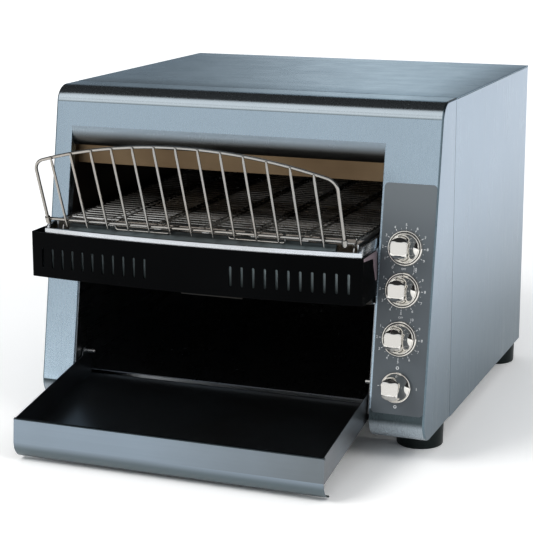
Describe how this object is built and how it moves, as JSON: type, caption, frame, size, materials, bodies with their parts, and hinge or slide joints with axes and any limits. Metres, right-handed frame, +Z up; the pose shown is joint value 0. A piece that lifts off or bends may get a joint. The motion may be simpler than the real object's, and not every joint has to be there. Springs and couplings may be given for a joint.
{
  "type": "conveyor toaster",
  "caption": "Countertop conveyor toaster with a wire belt, front wire feed rack, bowed heat guard, rotary controls and a sloping front product tray.",
  "frame": {"origin": "on the table, under the middle of the whole object's box", "axes": "+X to the right as seen from the front, -Y towards the person in front, +Z up"},
  "size_m": [0.495, 0.659, 0.415],
  "materials": {
    "stainless": "vertical brushed grain, satin",
    "inner_steel": "heat-darkened sheet",
    "reflector": "bright rolled sheet, dulled by heat",
    "baffle_steel": "straw-coloured by heat",
    "bright_steel": "bright brushed",
    "gloss_black": "baked gloss enamel",
    "label_grey": "satin printed overlay",
    "chrome": "polished",
    "wire": "bright drawn wire",
    "belt_wire": "heat-tinted wire",
    "quartz": "clear fused tube",
    "ceramic": "unglazed",
    "shaft_steel": "ground",
    "bronze": "sintered, oiled",
    "dark_steel": "satin black",
    "zinc": "zinc plated",
    "black_plastic": "moulded",
    "ivory_plastic": "moulded",
    "rubber": "moulded"
  },
  "bodies": {
    "cabinet": {"front_fascia": "stainless", "top_cover": "stainless", "side_panel_left": "stainless", "side_panel_right": "stainless", "back_panel": "stainless", "base_pan": "zinc", "inner_wall_left": "inner_steel", "inner_wall_right": "inner_steel", "entry_baffle": "baffle_steel", "upper_reflector": "reflector", "lower_reflector": "reflector", "heater_grid": "wire", "upper_heaters": "quartz", "lower_heaters": "quartz", "heater_caps": "ceramic", "toast_chute": "inner_steel", "rear_deflector": "inner_steel", "tray_pins": "shaft_steel", "heat_guard": "gloss_black", "guard_bracket_left": "bright_steel", "guard_bracket_right": "bright_steel", "conveyor_pan": "bright_steel", "conveyor_rail_left": "inner_steel", "conveyor_rail_right": "inner_steel", "wire_belt": "belt_wire", "drive_bearings": "bronze", "idler_bushes": "bronze", "drive_chain": "dark_steel", "chain_guide": "ivory_plastic", "gearmotor": "dark_steel", "motor_bracket": "zinc", "control_label": "label_grey", "knob_bezels": "chrome", "speed_control": "black_plastic", "top_heat_switch": "black_plastic", "bottom_heat_switch": "black_plastic", "power_switch": "black_plastic", "fan_frame": "dark_steel", "fan_guard": "bright_steel", "terminal_block": "ivory_plastic", "cord_gland": "black_plastic", "feet": "rubber", "foot_bolts": "zinc", "panel_screws": "zinc"},
    "drive_train": {"drive_shaft": "shaft_steel", "drive_sprockets": "shaft_steel", "chain_sprocket": "dark_steel"},
    "idler": {"idler_shaft": "shaft_steel", "idler_sprockets": "shaft_steel"},
    "motor_sprocket": {"motor_sprocket": "dark_steel"},
    "fan_rotor": {"fan_rotor": "black_plastic"},
    "feed_rack": {"feed_rack": "wire"},
    "product_tray": {"product_tray": "stainless"},
    "crumb_tray": {"crumb_tray": "reflector"},
    "speed_knob": {"speed_knob": "chrome"},
    "top_heat_knob": {"top_heat_knob": "chrome"},
    "bottom_heat_knob": {"bottom_heat_knob": "chrome"},
    "power_knob": {"power_knob": "chrome"}
  },
  "joints": [
    {"name": "belt_drive_spin", "type": "hinge", "parent": "cabinet", "child": "drive_train", "pos_m": [0, 0.21333, 0.23666], "axis": [1, 0, 0], "continuous": true},
    {"name": "idler_spin", "type": "hinge", "parent": "cabinet", "child": "idler", "pos_m": [0, -0.16767, 0.23666], "axis": [1, 0, 0], "continuous": true},
    {"name": "motor_spin", "type": "hinge", "parent": "cabinet", "child": "motor_sprocket", "pos_m": [0, 0.21333, 0.10332], "axis": [1, 0, 0], "continuous": true},
    {"name": "fan_spin", "type": "hinge", "parent": "cabinet", "child": "fan_rotor", "pos_m": [0.11, 0.305, 0.1075], "axis": [0, 1, 0], "continuous": true},
    {"name": "rack_lift", "type": "slide", "parent": "cabinet", "child": "feed_rack", "axis": [0, 0, 1], "range_m": [0, 0.08]},
    {"name": "tray_slide", "type": "slide", "parent": "cabinet", "child": "product_tray", "axis": [0, -1, 0], "range_m": [0, 0.12]},
    {"name": "crumb_slide", "type": "slide", "parent": "cabinet", "child": "crumb_tray", "axis": [0, -1, 0], "range_m": [0, 0.3]},
    {"name": "speed_knob_turn", "type": "hinge", "parent": "cabinet", "child": "speed_knob", "pos_m": [0.212, -0.14651, 0.24999], "axis": [0, -0.986, 0.1668], "range_deg": [-150, 150]},
    {"name": "top_heat_knob_turn", "type": "hinge", "parent": "cabinet", "child": "top_heat_knob", "pos_m": [0.212, -0.15463, 0.20198], "axis": [0, -0.986, 0.1668], "range_deg": [0, 330]},
    {"name": "bottom_heat_knob_turn", "type": "hinge", "parent": "cabinet", "child": "bottom_heat_knob", "pos_m": [0.212, -0.16398, 0.14667], "axis": [0, -0.986, 0.1668], "range_deg": [0, 330]},
    {"name": "power_knob_turn", "type": "hinge", "parent": "cabinet", "child": "power_knob", "pos_m": [0.212, -0.17334, 0.09135], "axis": [0, -0.986, 0.1668], "range_deg": [-90, 90]}
  ],
  "couplings": [
    {"joint": "idler_spin", "follows": "belt_drive_spin", "ratio": 1},
    {"joint": "motor_spin", "follows": "belt_drive_spin", "ratio": 1}
  ]
}
